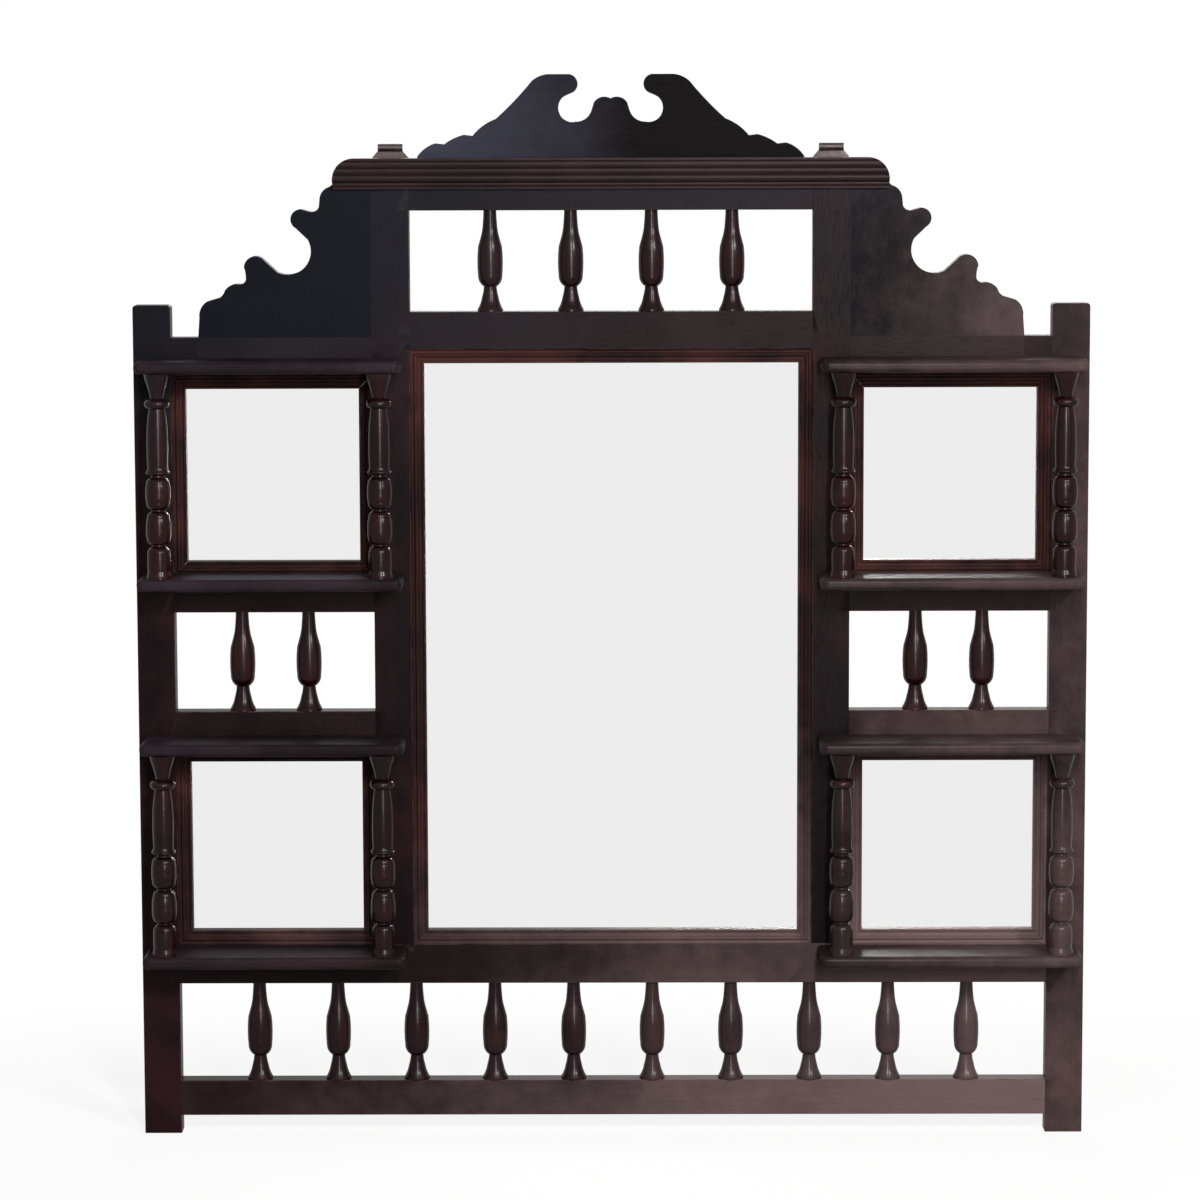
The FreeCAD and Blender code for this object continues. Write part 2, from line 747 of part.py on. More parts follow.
def shelf(name, centre_x, bottom, columns_above, notched):
    """A shelf with bull-nosed front and ends, bored for two columns above or below it.

    A notched shelf stands a little above the foot of the opening behind it, so its back makes room for the
    opening's moulding.
    """
    body = new_body(name)
    half = shelf_length / 2
    corner = size.shelf_corner_radius
    plan = (
        (half, 0, 0),
        (-half, 0, 0),
        (-half, corner - size.shelf_depth, QUARTER_TURN_BULGE_SHARE),
        (corner - half, -size.shelf_depth, 0),
        (half - corner, -size.shelf_depth, QUARTER_TURN_BULGE_SHARE),
        (half, corner - size.shelf_depth, 0),
    )
    board = raise_feature(
        body, "Pad", draw_outline(new_sketch(body, "XY_Plane"), plan), size.shelf_thickness
    )
    document.recompute()
    nosing = body.newObject("PartDesign::Fillet", f"{name}_nosing")
    nosing.Base = (board, shelf_nosing_edges(board.Shape))
    bind(nosing, "Radius", size.shelf_edge_radius)
    centres = [(-column_x, column_y), (column_x, column_y)]
    top = size.shelf_thickness if columns_above else None
    round_holes(body, centres, size.column_tenon_radius, size.column_tenon_length, top)
    middle = size.shelf_thickness / 2
    screw_centres = [(-stile_reach, middle), (stile_reach, middle)]
    bores = draw_circles(
        new_sketch(body, "XZ_Plane"), screw_centres, size.shelf_screw_radius + size.joint_gap
    )
    raise_feature(body, "Pocket", bores, shelf_screw_depth, backwards=True)
    if notched:
        notch = draw_rectangle(
            new_sketch(body, "YZ_Plane"),
            -(moulding_stand + size.joint_gap),
            size.cut_overrun,
            size.shelf_thickness - size.upper_shelf_lift - size.joint_gap,
            size.shelf_thickness + size.cut_overrun,
        )
        raise_feature(body, "Pocket", notch, opening_width + 2 * size.joint_gap, both_ways=True)
    place(body, centre_x, front_y, bottom)
    return add_node(body, name)


def shelf_nosing_edges(shape):
    """The level edges of a shelf's board, top and bottom, but not those at its back."""
    names = []
    for number, edge in enumerate(shape.Edges, start=1):
        bounds = edge.BoundBox
        is_level = bounds.ZLength < bounds.DiagonalLength / 2
        is_back = bounds.YMin > shape.BoundBox.YMax - bounds.DiagonalLength / 2
        if is_level and not is_back:
            names.append(f"Edge{number}")
    return names


def turned_corners(profile, height, radius, tenon_radius, tenon_length):
    """A turned piece's half profile, with a tenon at its foot and its top."""
    corners = [(0, -tenon_length, 0), (tenon_radius, -tenon_length, 0), (tenon_radius, 0, 0)]
    corners += [(out * radius, up * height, bulge) for up, out, bulge in profile]
    top = height + tenon_length
    corners += [(tenon_radius, height, 0), (tenon_radius, top, 0), (0, top, 0)]
    return corners


for side_name, side in SIDES:
    for unit_name, unit_z in (("upper", upper_shelf_z), ("lower", lower_shelf_z)):
        name = f"{side_name}_{unit_name}"
        shelf(f"{name}_top_shelf", side * side_x, unit_z + shelf_unit_rise, False, False)
        shelf(f"{name}_bottom_shelf", side * side_x, unit_z, True, unit_name == "upper")
        for column_name, column_side in (("inner_column", -side), ("outer_column", side)):
            column = new_body(f"{name}_{column_name}")
            corners = turned_corners(
                COLUMN_PROFILE_SHARES,
                column_height,
                size.column_radius,
                size.column_tenon_radius,
                size.column_tenon_length,
            )
            turn_feature(column, corners)
            place(
                column,
                side * side_x + column_side * column_x,
                front_y + column_y,
                unit_z + size.shelf_thickness,
            )
            add_node(column, f"{name}_{column_name}")

# Spindle galleries


def gallery(name, centre_x, bottom, width, count):
    """A row of equal spindles between two rails."""
    spindle = new_body(f"{name}_spindle")
    corners = turned_corners(
        SPINDLE_PROFILE_SHARES,
        size.gallery_height,
        size.spindle_radius,
        size.spindle_tenon_radius,
        size.spindle_tenon_length,
    )
    turn_feature(spindle, corners)
    spots = [(centre_x + across, middle_y, bottom) for across in spindle_places(width, count)]
    return group_node(f"{name}_spindles", spindle, spots)


gallery("top_gallery", as_size(0), top_gallery_z, size.centre_opening_width, TOP_SPINDLES)
gallery("bottom_gallery", as_size(0), bottom_gallery_z, full_width, BOTTOM_SPINDLES)
for side_name, side in SIDES:
    gallery(f"{side_name}_gallery", side * side_x, side_gallery_z, opening_width, SIDE_SPINDLES)

# Mirrors

glue_blocks = []
filled_depth = size.moulding_depth + size.mirror_thickness + size.back_board_thickness
block_thickness = size.frame_thickness - filled_depth


def moulding_strip(name, length, reach):
    """A mitred strip along the foot of an opening whose centre is at the origin."""
    body = new_body(name)
    section = [
        (back * size.moulding_depth, across * size.moulding_width - reach, bulge)
        for across, back, bulge in MOULDING_SECTION_SHARES
    ]
    sketch = draw_outline(new_sketch(body, "YZ_Plane"), section)
    raise_feature(body, "Pad", sketch, length, both_ways=True)
    over = size.cut_overrun
    for side_name, side in SIDES:
        end = side * length / 2
        past_end = end + side * over
        inner_end = end - side * (size.moulding_width + over)
        top = size.moulding_width + over - reach
        mitre = ((past_end, -reach - over, 0), (inner_end, top, 0), (past_end, top, 0))
        cut = draw_outline(new_sketch(body, "XZ_Plane"), mitre)
        raise_feature(body, "Pocket", cut, 4 * size.moulding_depth, both_ways=True)
    return body


def box(name, width, depth, height, centre_x, front, bottom):
    """A plain board, by its size, its centre across, its front and its foot."""
    item = document.addObject("Part::Box", name)
    bind(item, "Length", width)
    bind(item, "Width", depth)
    bind(item, "Height", height)
    return place(item, centre_x - width / 2, front, bottom)


def mirror(name, centre_x, bottom, width, height):
    """A mirror plate in its opening: the moulding before it, the back board and glue blocks behind it."""
    centre_z = bottom + height / 2
    level_strip = moulding_strip(f"{name}_level_strip", width, height / 2)
    upright_strip = moulding_strip(f"{name}_upright_strip", height, width / 2)
    strips = []
    for strip, angles in ((level_strip, (0, 180)), (upright_strip, (90, -90))):
        for number, angle in enumerate(angles):
            copy = strip
            if number:
                copy = document.addObject("App::Link", f"{name}_strip_copy")
                copy.LinkedObject = strip
            copy.Placement.Rotation = FreeCAD.Rotation(FreeCAD.Vector(0, 1, 0), angle)
            strips.append(copy)
    moulding = document.addObject("Part::Compound", f"{name}_moulding_group")
    moulding.Links = strips
    place(moulding, centre_x, front_y, centre_z)
    add_node(moulding, f"{name}_mirror_moulding")

    plate_width = width - 2 * size.mirror_margin
    plate_height = height - 2 * size.mirror_margin
    plate_bottom = bottom + size.mirror_margin
    plate_y = front_y + size.moulding_depth
    plate = box(
        f"{name}_plate", plate_width, size.mirror_thickness, plate_height, centre_x, plate_y, plate_bottom
    )
    add_node(plate, f"{name}_mirror_plate")
    board_y = plate_y + size.mirror_thickness
    board = box(
        f"{name}_board", plate_width, size.back_board_thickness, plate_height, centre_x, board_y, plate_bottom
    )
    add_node(board, f"{name}_back_board")

    block_y = board_y + size.back_board_thickness
    length, thick = size.glue_block_length, size.glue_block_width
    for side_name, side in SIDES:
        upright_x = centre_x + side * (width - thick) / 2
        upright_z = centre_z - length / 2
        glue_blocks.append(box("glue_block", thick, block_thickness, length, upright_x, block_y, upright_z))
        level_z = centre_z + side * (height - thick) / 2 - thick / 2
        glue_blocks.append(box("glue_block", length, block_thickness, thick, centre_x, block_y, level_z))


mirror("centre", as_size(0), lower_opening_z, size.centre_opening_width, size.centre_opening_height)
for side_name, side in SIDES:
    mirror(f"{side_name}_upper", side * side_x, upper_opening_z, opening_width, small_opening_height)
    mirror(f"{side_name}_lower", side * side_x, lower_opening_z, opening_width, small_opening_height)
glue_block_group = document.addObject("Part::Compound", "glue_block_group")
glue_block_group.Links = glue_blocks
add_node(glue_block_group, "glue_blocks")

# Hangers

eye_outer_radius = size.eye_radius + size.strap_thickness


def eye_point(radius, angle):
    """A place on the rolled eye, by its radius and its angle from the back towards the top."""
    across = size.strap_thickness - eye_outer_radius + radius * math.cos(math.radians(angle))
    up = size.strap_height + radius * math.sin(math.radians(angle))
    return across, up


for side_name, side in SIDES:
    hanger = new_body(f"{side_name}_hanger")
    roll = math.tan(math.radians(EYE_ROLL_ANGLE / 8))
    half_roll = EYE_ROLL_ANGLE / 2
    strap = (
        (0, 0, 0),
        (size.strap_thickness, 0, 0),
        (*eye_point(eye_outer_radius, 0), roll),
        (*eye_point(eye_outer_radius, half_roll), roll),
        (*eye_point(eye_outer_radius, EYE_ROLL_ANGLE), 0),
        (*eye_point(size.eye_radius, EYE_ROLL_ANGLE), -roll),
        (*eye_point(size.eye_radius, half_roll), -roll),
        (*eye_point(size.eye_radius, 0), 0),
    )
    strap_sketch = draw_outline(new_sketch(hanger, "YZ_Plane"), strap)
    raise_feature(hanger, "Pad", strap_sketch, size.strap_width, both_ways=True)
    past_top = size.strap_height + eye_outer_radius + size.cut_overrun
    for edge_side in (-1, 1):
        narrow = edge_side * size.eye_width / 2
        wide = edge_side * size.strap_width / 2
        past_wide = wide + edge_side * size.cut_overrun
        shoulder_cut = (
            (narrow, size.strap_neck_height, 0),
            (wide, size.strap_neck_height - size.strap_neck_slope, 0),
            (past_wide, size.strap_neck_height - size.strap_neck_slope, 0),
            (past_wide, past_top, 0),
            (narrow, past_top, 0),
        )
        cut = draw_outline(new_sketch(hanger, "XZ_Plane"), shoulder_cut)
        raise_feature(hanger, "Pocket", cut, 4 * eye_outer_radius, both_ways=True)
    screw_centres = [(0.0, level - hanger_z) for level in hanger_screw_levels]
    bores = draw_circles(
        new_sketch(hanger, "XZ_Plane"), screw_centres, size.hanger_screw_radius + size.joint_gap
    )
    raise_feature(hanger, "Pocket", bores, 4 * size.strap_thickness, both_ways=True)
    sinks = draw_circles(
        new_sketch(hanger, "XZ_Plane", -size.strap_thickness),
        screw_centres,
        size.hanger_screw_head_radius + size.joint_gap,
    )
    head_height = size.hanger_screw_head_radius - size.hanger_screw_radius
    sink = raise_feature(hanger, "Pocket", sinks, head_height, backwards=True)
    sink.TaperAngle = -45
    place(hanger, side * inner_stile_x, back_y, hanger_z)
    add_node(hanger, f"{side_name}_hanger")

# Screws


def screw(name, length, radius, head_radius):
    """A countersunk slotted screw that points down from its flat head."""
    body = new_body(name)
    corners = (
        (0, 0, 0),
        (0, -length, 0),
        (radius, size.screw_tip_length - length, 0),
        (radius, radius - head_radius, 0),
        (head_radius, 0, 0),
    )
    turn_feature(body, corners)
    half = size.screw_slot_width / 2
    reach = head_radius + size.cut_overrun
    slot = draw_rectangle(new_sketch(body, "XY_Plane"), -reach, reach, -half, half)
    raise_feature(body, "Pocket", slot, size.screw_slot_depth)
    return body


shelf_screw = screw(
    "shelf_screw", size.shelf_screw_length, size.shelf_screw_radius, size.shelf_screw_head_radius
)
shelf_screw_spots = [
    (side * across, back_y, level)
    for level in shelf_screw_levels
    for _, side in SIDES
    for across in (inner_stile_x, outer_stile_x)
]
group_node("shelf_screws", shelf_screw, shelf_screw_spots, angle=-90)

hanger_screw = screw(
    "hanger_screw", size.hanger_screw_length, size.hanger_screw_radius, size.hanger_screw_head_radius
)
hanger_screw_spots = [
    (side * inner_stile_x, back_y + size.strap_thickness, level)
    for level in hanger_screw_levels
    for _, side in SIDES
]
group_node("hanger_screws", hanger_screw, hanger_screw_spots, angle=-90)

# Checks and files

document.recompute()
for item in document.Objects:
    if "Invalid" in item.State or "Error" in item.State:
        raise RuntimeError(f"{item.Name} failed: {item.State}")
    if item.TypeId == "PartDesign::Pocket":
        uncut = item.BaseFeature.Shape.Volume
        if uncut - item.Shape.Volume < LEAST_CUT_SHARE * uncut:
            raise RuntimeError(f"{item.Name} cuts nothing")

for node in nodes:
    if node.Shape.isNull() or not node.Shape.isValid():
        raise RuntimeError(f"{node.Label} has no valid shape")

os.makedirs("parts", exist_ok=True)
for node in nodes:
    node.Shape.exportStep(f"parts/{node.Label}.step")
print(len(nodes), "nodes,", sum(len(node.Shape.Solids) for node in nodes), "solids")
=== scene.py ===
import math

import bmesh
import bpy
from mathutils import Matrix, Vector
from mathutils.bvhtree import BVHTree


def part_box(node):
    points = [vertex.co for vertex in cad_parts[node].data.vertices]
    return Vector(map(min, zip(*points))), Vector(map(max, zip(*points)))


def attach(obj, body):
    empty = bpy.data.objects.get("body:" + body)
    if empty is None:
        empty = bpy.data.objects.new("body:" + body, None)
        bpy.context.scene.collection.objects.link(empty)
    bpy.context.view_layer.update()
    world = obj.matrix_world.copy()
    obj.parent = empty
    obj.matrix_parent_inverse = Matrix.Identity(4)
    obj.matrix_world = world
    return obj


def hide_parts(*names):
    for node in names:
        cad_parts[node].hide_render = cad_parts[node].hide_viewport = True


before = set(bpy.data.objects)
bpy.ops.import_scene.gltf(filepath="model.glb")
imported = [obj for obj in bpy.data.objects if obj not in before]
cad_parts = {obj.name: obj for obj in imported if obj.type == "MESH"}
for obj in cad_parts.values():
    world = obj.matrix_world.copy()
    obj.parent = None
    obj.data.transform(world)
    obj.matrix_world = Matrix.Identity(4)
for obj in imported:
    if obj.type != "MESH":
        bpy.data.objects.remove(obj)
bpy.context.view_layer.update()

# Camera
# It stands a little over four metres in front of the mirror, near the height of its head rail, and looks
# slightly down, with a long lens, so that the upright lines stay nearly parallel.
camera_place = Vector((0.0107, -4.2517, 1.065))
camera_yaw = math.radians(-0.304)
camera_pitch = math.radians(6.835)
camera_roll = math.radians(-0.165)
lens_data = bpy.data.cameras.new("long_lens")
lens_data.sensor_fit = "HORIZONTAL"
lens_data.sensor_width = 36.0
lens_data.lens = 127.08
lens_data.clip_end = 60.0
camera = bpy.data.objects.new("camera", lens_data)
bpy.context.scene.collection.objects.link(camera)
ahead = Vector((math.sin(camera_yaw) * math.cos(camera_pitch), math.cos(camera_yaw) * math.cos(camera_pitch),
                -math.sin(camera_pitch)))
level_right = Vector((math.cos(camera_yaw), -math.sin(camera_yaw), 0.0))
level_up = level_right.cross(ahead)
right = math.cos(camera_roll) * level_right + math.sin(camera_roll) * level_up
up = math.cos(camera_roll) * level_up - math.sin(camera_roll) * level_right
camera.matrix_world = Matrix.Translation(camera_place) @ Matrix((right, up, -ahead)).transposed().to_4x4()
bpy.context.scene.camera = camera
bpy.context.scene.view_settings.view_transform = "Standard"


# Floor and surroundings
# A wide pale floor under white surroundings, as in a plain studio. Mirrors and varnish see the same white
# as the camera does, and the floor keeps a soft shadow of the object. It throws little light back up, so
# that the undersides stay dark, as they are in the photo.
class Value:
    """A number in a material that Python's signs work on."""

    def __init__(self, finish, source):
        self.finish = finish
        self.source = source

    def sum(self, operation, *others):
        return self.finish.node("Math", {"operation": operation}, dict(enumerate((self,) + others)))

    def __add__(self, other):
        return self.sum("ADD", other)

    def __sub__(self, other):
        return self.sum("SUBTRACT", other)

    def __rsub__(self, other):
        return self.finish.node("Math", {"operation": "SUBTRACT"}, {0: other, 1: self})

    def __mul__(self, other):
        return self.sum("MULTIPLY", other)

    __radd__ = __add__
    __rmul__ = __mul__

    def between(self, low, high):
        """0 below low and 1 above high, with a soft step from one to the other."""
        settings = {"interpolation_type": "SMOOTHSTEP"}
        return self.finish.node("MapRange", settings, {"Value": self, "From Min": low, "From Max": high})


class Finish:
    """A material that is being mixed, with the place on the object that its patterns follow."""

    mix_inputs = (0, 6, 7)
    mix_output = 2

    def __init__(self, name, world=None):
        if world is None:
            self.material = bpy.data.materials.new(name)
        else:
            self.material = world
        self.material.use_nodes = True
        self.tree = self.material.node_tree
        self.tree.nodes.clear()

    def node(self, kind, settings=None, sockets=None, output=0):
        made = self.tree.nodes.new("ShaderNode" + kind)
        for key, setting in (settings or {}).items():
            setattr(made, key, setting)
        for key, given in (sockets or {}).items():
            if isinstance(given, Value):
                self.tree.links.new(given.source, made.inputs[key])
            else:
                made.inputs[key].default_value = given
        return Value(self, made.outputs[output]) if made.outputs else None

    def mix(self, amount, first, second, blend="MIX"):
        """From the first colour to the second by that amount."""
        colours = [given if isinstance(given, Value) else (*given, 1.0) for given in (first, second)]
        settings = {"data_type": "RGBA", "blend_type": blend}
        return self.node("Mix", settings, dict(zip(self.mix_inputs, (amount, *colours))), self.mix_output)

    def place(self):
        return self.node("TexCoord", output="Object")

    def noise(self, rate, detail=3.0, rough=0.55, shift=(0.0, 0.0, 0.0), warp=0.0):
        """Cloudy noise with that many changes to a metre, either one number or one each for X, Y and Z."""
        rates = rate if isinstance(rate, (list, tuple)) else (rate, rate, rate)
        mapped = self.node("Mapping", {}, {"Vector": self.place(), "Location": shift, "Scale": rates})
        return self.node("TexNoise", {}, {"Vector": mapped, "Scale": 1.0, "Detail": detail,
                                          "Roughness": rough, "Distortion": warp})

    def wear(self):
        """1 where the mesh is marked as rubbed and 0 elsewhere."""
        return self.node("Attribute", {"attribute_name": "wear"}, output="Fac")

    def bump(self, height, strength, distance):
        return self.node("Bump", {}, {"Height": height, "Strength": strength, "Distance": distance})

    def done(self, shader, target="OutputMaterial"):
        self.node(target, {}, {"Surface": shader})
        return self.material


def shade(red, green, blue):
    """A colour as it looks on a screen, from 0 to 255, as the amounts of light that a material takes."""
    amounts = []
    for level in (red, green, blue):
        share = level / 255
        amounts.append(share / 12.92 if share <= 0.04045 else ((share + 0.055) / 1.055) ** 2.4)
    return tuple(amounts)


surroundings = bpy.data.worlds.new("white_surroundings")
bpy.context.scene.world = surroundings
sky = Finish("white_surroundings", surroundings)


def seen_directly(finish):
    """1 on rays from the camera and on rays that a gloss or a glass sends on, otherwise 0."""
    rays = [finish.node("LightPath", output=ray)
            for ray in ("Is Camera Ray", "Is Glossy Ray", "Is Transmission Ray")]
    return rays[0].sum("MAXIMUM", rays[1]).sum("MAXIMUM", rays[2])


ambient_strength = 0.08
ambient = sky.node("Background", {}, {"Color": (0.93, 0.96, 1.0, 1.0), "Strength": ambient_strength})
white = sky.node("Background", {}, {"Color": (1.0, 1.0, 1.0, 1.0), "Strength": 1.0})
sky.done(sky.node("MixShader", {}, {0: seen_directly(sky), 1: ambient, 2: white}), "OutputWorld")

floor_reach = 14.0
shadow_squeeze = (0.45, 1.0, 1.0)
shadow_reach = (0.22, 0.75)
floor_mesh = bmesh.new()
bmesh.ops.create_grid(floor_mesh, x_segments=1, y_segments=1, size=floor_reach)
floor_data = bpy.data.meshes.new("floor")
floor_mesh.to_mesh(floor_data)
floor_mesh.free()
floor = bpy.data.objects.new("floor", floor_data)
bpy.context.scene.collection.objects.link(floor)
pale = Finish("pale_floor")
speckle = pale.noise(9.0, 2.0)
lit = pale.node("BsdfDiffuse", {}, {"Color": pale.mix(speckle, (0.1, 0.1, 0.1), (0.13, 0.13, 0.13))})
kept = pale.node("BsdfDiffuse", {}, {"Color": (0.14, 0.14, 0.14, 1.0)})
glow = pale.node("Emission", {}, {"Color": (1.0, 1.0, 1.0, 1.0), "Strength": 0.85})
near = pale.node("AddShader", {}, {0: kept, 1: glow})
far = pale.node("Emission", {}, {"Color": (1.0, 1.0, 1.0, 1.0), "Strength": 1.0})
squeezed = pale.node("VectorMath", {"operation": "MULTIPLY"}, {0: pale.place(), 1: shadow_squeeze})
away = pale.node("VectorMath", {"operation": "LENGTH"}, {0: squeezed}, "Value").between(*shadow_reach)
bright = pale.node("MixShader", {}, {0: away, 1: near, 2: far})
seen = pale.node("MixShader", {}, {0: seen_directly(pale), 1: lit, 2: bright})
floor_data.materials.append(pale.done(seen))


# Lamps
# Three lamps in front, one above the other, draw the gleams on the turned work, and stand where no mirror
# shows them to the camera. The highest and one at the right throw the shadows of the shelves and columns
# down and to the left, and weaker ones stand at the upper left and behind.
def soft_lamp(name, place, aim, width, height, power, colour):
    """A flat lamp that faces the point it is aimed at."""
    data = bpy.data.lights.new(name, "AREA")
    data.shape = "RECTANGLE"
    data.size = width
    data.size_y = height
    data.energy = power
    data.color = colour
    lamp = bpy.data.objects.new(name, data)
    lamp.matrix_world = (Matrix.Translation(place)
                         @ (Vector(aim) - Vector(place)).to_track_quat("-Z", "Y").to_matrix().to_4x4())
    bpy.context.scene.collection.objects.link(lamp)


gleam_aim = (0.05, 0.0, 0.6)
gleam_colour = (1.0, 0.98, 0.97)
soft_lamp("low_gleam_lamp", (0.375, -3.0, 0.4), gleam_aim, 0.066, 0.8, 16.0, gleam_colour)
soft_lamp("middle_gleam_lamp", (0.375, -3.0, 1.08), gleam_aim, 0.066, 0.5, 28.0, gleam_colour)
soft_lamp("high_gleam_lamp", (0.375, -3.0, 1.9), gleam_aim, 0.25, 0.8, 68.0, gleam_colour)
soft_lamp("right_lamp", (1.75, -2.9, 2.05), (0.1, 0.0, 0.5), 0.3, 0.3, 84.0, (1.0, 0.96, 0.94))
soft_lamp("cool_lamp", (-0.9, -3.0, 2.3), (-0.1, 0.0, 0.8), 1.0, 1.0, 8.0, (0.72, 0.84, 1.0))
soft_lamp("back_lamp", (0.3, 2.4, 1.9), (0.0, 0.0, 0.6), 1.6, 1.6, 30.0, (1.0, 1.0, 1.0))


# Stiles and rails
# The flat frame of beech or a like plain hardwood, stained almost black and varnished. The pieces are planed
# boards joined by mortise and tenon, with arrises rubbed down to the brown wood.
arris_ease = 0.0008
arris_steps = 3
least_arris_turn = math.radians(35.0)
flat_turn = math.radians(0.5)
merge_reach = 1e-6
seam_reach = 0.0004
uprights = ["left_outer_stile", "right_outer_stile", "left_inner_stile", "right_inner_stile"]
long_rails = ["head_rail", "centre_top_rail", "lower_rail", "bottom_rail"]
short_rails = [f"{side}_{rail}" for side in ("left", "right")
               for rail in ("top_rail", "upper_cross_rail", "lower_cross_rail")]
fret_boards = ["left_wing_board", "right_wing_board", "crest_board"]
joined_boards = uprights + long_rails + short_rails + fret_boards


def merged_copy(node):
    """The node's triangles as one closed mesh with whole flat faces."""
    mesh = bmesh.new()
    mesh.from_mesh(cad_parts[node].data)
    bmesh.ops.remove_doubles(mesh, verts=mesh.verts, dist=merge_reach)
    bmesh.ops.dissolve_limit(mesh, angle_limit=flat_turn, verts=mesh.verts, edges=mesh.edges)
    return mesh


def split(mesh, place, normal):
    """Cut the mesh along a plane without parting it."""
    everything = mesh.verts[:] + mesh.edges[:] + mesh.faces[:]
    bmesh.ops.bisect_plane(mesh, geom=everything, dist=merge_reach, plane_co=place, plane_no=normal)


def ease_arrises(mesh, ease, steps, kept_sharp=None):
    """Round the outward edges and mark the rounded faces as rubbed."""
    arrises = [edge for edge in mesh.edges
               if edge.is_manifold and edge.is_convex and edge.calc_face_angle() > least_arris_turn
               and not (kept_sharp and kept_sharp((edge.verts[0].co + edge.verts[1].co) / 2))]
    rounded = bmesh.ops.bevel(mesh, geom=arrises, offset=ease, offset_type="OFFSET", segments=steps,
                              profile=0.5, affect="EDGES", clamp_overlap=False, material=-1)
    rubbed = mesh.loops.layers.float.new("wear")
    for face in rounded["faces"]:
        for corner in face.loops:
            corner[rubbed] = 1.0


def finished(mesh, name, slot, material, *nodes, least_corner=math.radians(40.0)):
    """Turn the mesh into a smooth piece that stands for these nodes."""
    for face in mesh.faces:
        face.smooth = True
    for edge in mesh.edges:
        if edge.is_manifold and edge.calc_face_angle() > least_corner:
            edge.smooth = False
    data = bpy.data.meshes.new(name)
    mesh.to_mesh(data)
    mesh.free()
    data.materials.append(material)
    piece = bpy.data.objects.new(name, data)
    bpy.context.scene.collection.objects.link(piece)
    even = piece.modifiers.new("even_faces", "WEIGHTED_NORMAL")
    even.keep_sharp = True
    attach(piece, "root")
    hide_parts(*nodes)


def eased_copy(node, name, slot, material, ease, steps=2):
    """An eased copy of a node that has no glued joints on show."""
    mesh = merged_copy(node)
    ease_arrises(mesh, ease, steps)
    finished(mesh, name, slot, material, node)


board_trees = {}
for board in joined_boards:
    board_mesh = bmesh.new()
    board_mesh.from_mesh(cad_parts[board].data)
    board_trees[board] = BVHTree.FromBMesh(board_mesh)
    board_mesh.free()


def seam_with(board):
    """Whether a point of the board lies on a neighbour, where a glued joint has no rubbed arris."""
    others = [tree for name, tree in board_trees.items() if name != board]
    return lambda point: any(tree.find_nearest(point, seam_reach)[0] is not None for tree in others)


def jointed_board(board, material):
    """An eased copy of a board of the frame, whose arrises stop at the joints."""
    mesh = merged_copy(board)
    low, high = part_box(board)
    for other in joined_boards:
        other_low, other_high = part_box(other)
        apart = max(max(other_low[axis] - high[axis], low[axis] - other_high[axis]) for axis in range(3))
        if other == board or apart > seam_reach:
            continue
        for axis in (0, 2):
            normal = Vector((0.0, 0.0, 0.0))
            normal[axis] = 1.0
            for corner in (other_low, other_high):
                if low[axis] + arris_ease < corner[axis] < high[axis] - arris_ease:
                    split(mesh, corner, normal)
    ease_arrises(mesh, arris_ease, arris_steps, seam_with(board))
    finished(mesh, board + "_wood", "frame_wood", material, board)


# The first three set the painted light of stained_wood: the height above which the painted bluish sheen
# grows, and the height below which the painted pale glare grows, with the glare's colour.
painted_sheen_level = 0.75
painted_glare_level = 0.45
painted_glare_colour = shade(116, 96, 96)
varnish_roughness = 0.22
grain_depth = 0.0004
stain_strength = 0.64


def drawn_out(along, rate_across, rate_along):
    """The rates of a noise that is drawn out along the grain."""
    rates = [rate_across] * 3
    rates["XYZ".index(along)] = rate_along
    return rates


